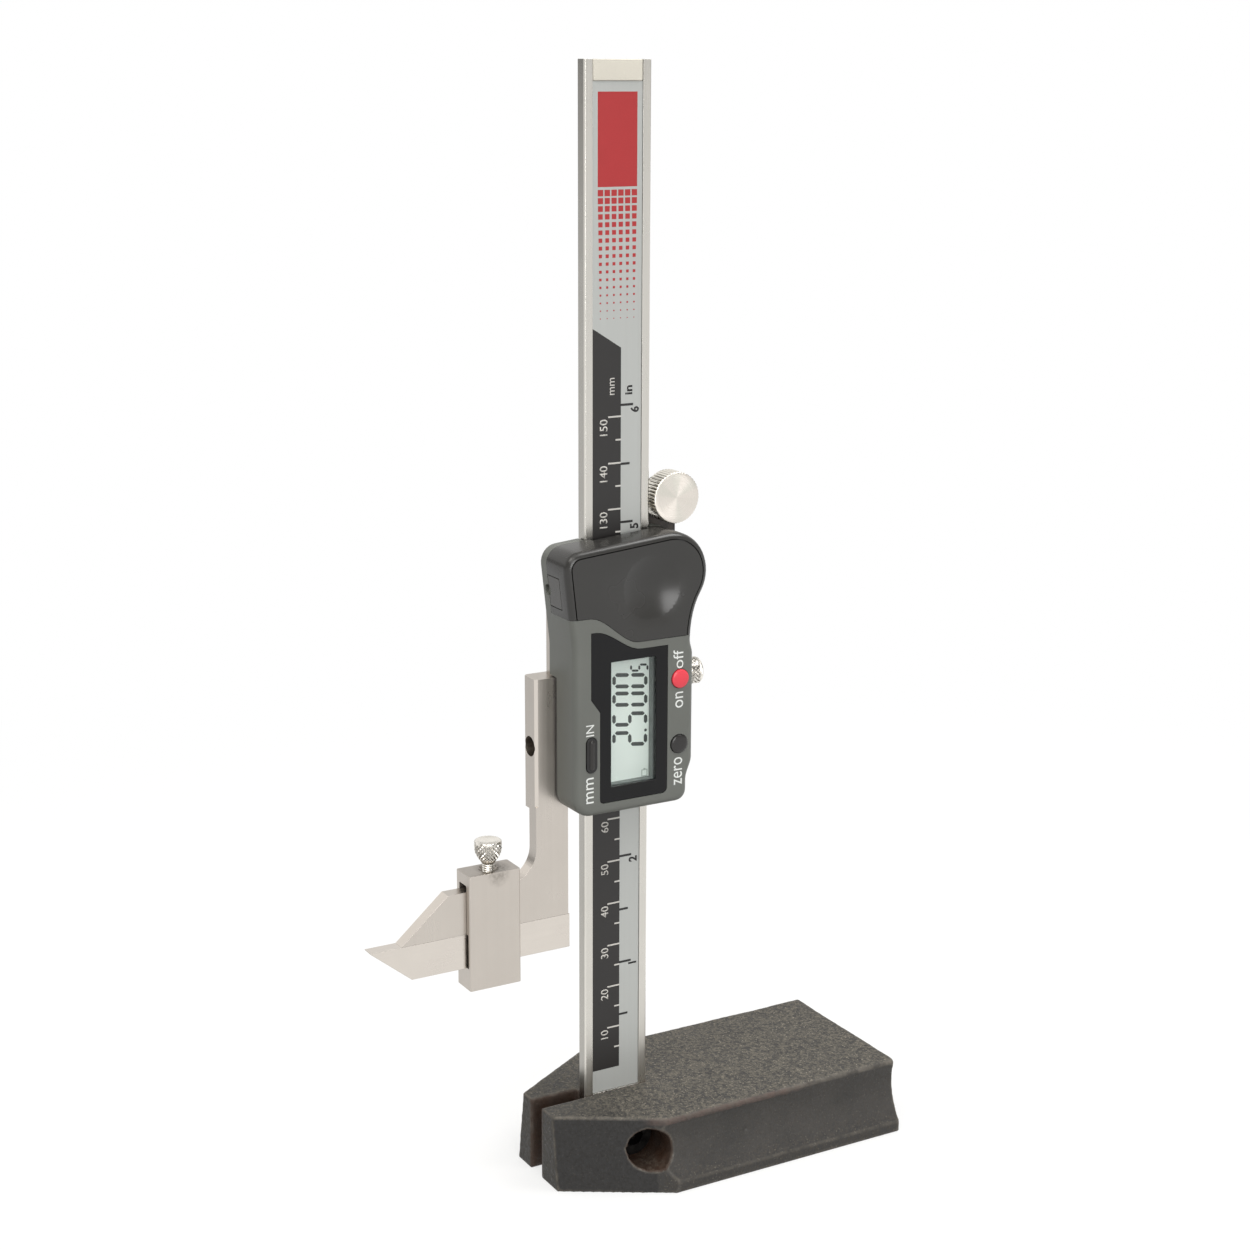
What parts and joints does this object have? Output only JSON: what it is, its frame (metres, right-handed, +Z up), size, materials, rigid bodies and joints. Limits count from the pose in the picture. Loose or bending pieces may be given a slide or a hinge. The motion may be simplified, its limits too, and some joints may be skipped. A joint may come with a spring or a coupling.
{
  "type": "height gauge",
  "caption": "Small digital height gauge: a slider with a display, jaw and scriber runs up a scaled steel beam that stands in a cast iron base.",
  "frame": {"origin": "middle of the base's underside, on the surface that the gauge stands on", "axes": "+Z up the beam, +X along the base away from the scriber, -Y towards the user, who reads the display"},
  "size_m": [0.1247, 0.0468, 0.2464],
  "materials": {
    "base_block": "matte",
    "beam": "satin",
    "scale_strip": "satin",
    "scale_label": "satin",
    "end_stop": "satin",
    "base_clamp_screw": "satin",
    "slider_frame": "satin",
    "gib_strip": "satin",
    "gib_screws": "satin",
    "main_housing": "satin",
    "top_cover": "satin",
    "display_bezel": "gloss",
    "display_window": "gloss",
    "display_frame": "satin",
    "lcd_glass": "satin",
    "contact_strips": "matte",
    "circuit_board": "gloss",
    "board_screws": "polished",
    "switch_domes": "polished",
    "battery_cell": "polished",
    "battery_contacts": "polished",
    "output_port": "satin",
    "output_contacts": "polished",
    "housing_screws": "polished",
    "wheel_bracket": "satin",
    "bracket_screws": "polished",
    "wheel_pin": "polished",
    "thumb_wheel": "polished",
    "lock_screw": "polished",
    "power_button": "satin",
    "zero_button": "satin",
    "unit_button": "satin",
    "port_cover": "satin",
    "battery_cover": "satin",
    "scriber_clamp": "satin",
    "clamp_screw": "polished",
    "scriber": "satin"
  },
  "bodies": {
    "base": {"base_block": "base_block", "beam": "beam", "scale_strip": "scale_strip", "scale_label": "scale_label", "end_stop": "end_stop", "base_clamp_screw": "base_clamp_screw"},
    "slider": {"slider_frame": "slider_frame", "gib_strip": "gib_strip", "gib_screws": "gib_screws", "main_housing": "main_housing", "top_cover": "top_cover", "display_bezel": "display_bezel", "display_window": "display_window", "display_frame": "display_frame", "lcd_glass": "lcd_glass", "contact_strips": "contact_strips", "circuit_board": "circuit_board", "board_screws": "board_screws", "switch_domes": "switch_domes", "battery_cell": "battery_cell", "battery_contacts": "battery_contacts", "output_port": "output_port", "output_contacts": "output_contacts", "housing_screws": "housing_screws", "wheel_bracket": "wheel_bracket", "bracket_screws": "bracket_screws", "wheel_pin": "wheel_pin"},
    "thumb_wheel": {"thumb_wheel": "thumb_wheel"},
    "lock_screw": {"lock_screw": "lock_screw"},
    "power_button": {"power_button": "power_button"},
    "zero_button": {"zero_button": "zero_button"},
    "unit_button": {"unit_button": "unit_button"},
    "battery_cover": {"battery_cover": "battery_cover"},
    "port_cover": {"port_cover": "port_cover"},
    "scriber_clamp": {"scriber_clamp": "scriber_clamp"},
    "clamp_screw": {"clamp_screw": "clamp_screw"},
    "scriber": {"scriber": "scriber"}
  },
  "joints": [
    {"name": "slider_travel", "type": "slide", "parent": "base", "child": "slider", "axis": [0, 0, 1], "range_m": [-0.049, 0.0865]},
    {"name": "thumb_wheel_spin", "type": "hinge", "parent": "slider", "child": "thumb_wheel", "pos_m": [-0.00875, -0.0009, 0.15405], "axis": [0, 1, 0], "range_deg": [-900, 520]},
    {"name": "lock_screw_turn", "type": "hinge", "parent": "slider", "child": "lock_screw", "pos_m": [-0.009, 0, 0.11375], "axis": [1, 0, 0], "range_deg": [0, 720]},
    {"name": "power_press", "type": "slide", "parent": "slider", "child": "power_button", "axis": [0, 1, 0], "range_m": [0, 0.0006], "stiffness_N_per_m": 1500, "springref_m": -0.0004},
    {"name": "zero_press", "type": "slide", "parent": "slider", "child": "zero_button", "axis": [0, 1, 0], "range_m": [0, 0.0006], "stiffness_N_per_m": 1500, "springref_m": -0.0004},
    {"name": "unit_press", "type": "slide", "parent": "slider", "child": "unit_button", "axis": [0, 1, 0], "range_m": [0, 0.0006], "stiffness_N_per_m": 1500, "springref_m": -0.0004},
    {"name": "battery_cover_release", "type": "slide", "parent": "slider", "child": "battery_cover", "axis": [0, -1, 0], "range_m": [0, 0.008]},
    {"name": "port_cover_pull", "type": "slide", "parent": "slider", "child": "port_cover", "axis": [-1, 0, 0], "range_m": [0, 0.006]},
    {"name": "clamp_slide", "type": "slide", "parent": "slider", "child": "scriber_clamp", "axis": [1, 0, 0], "range_m": [-0.008, 0.0015]},
    {"name": "clamp_screw_turn", "type": "hinge", "parent": "scriber_clamp", "child": "clamp_screw", "pos_m": [-0.0538, 0.0001, 0.077], "axis": [0, 0, 1], "range_deg": [0, 720]},
    {"name": "scriber_slide", "type": "slide", "parent": "slider", "child": "scriber", "axis": [1, 0, 0], "range_m": [-0.012, 0.003]}
  ],
  "couplings": [
    {"joint": "thumb_wheel_spin", "follows": "slider_travel", "rad_per_m": -175.44}
  ]
}
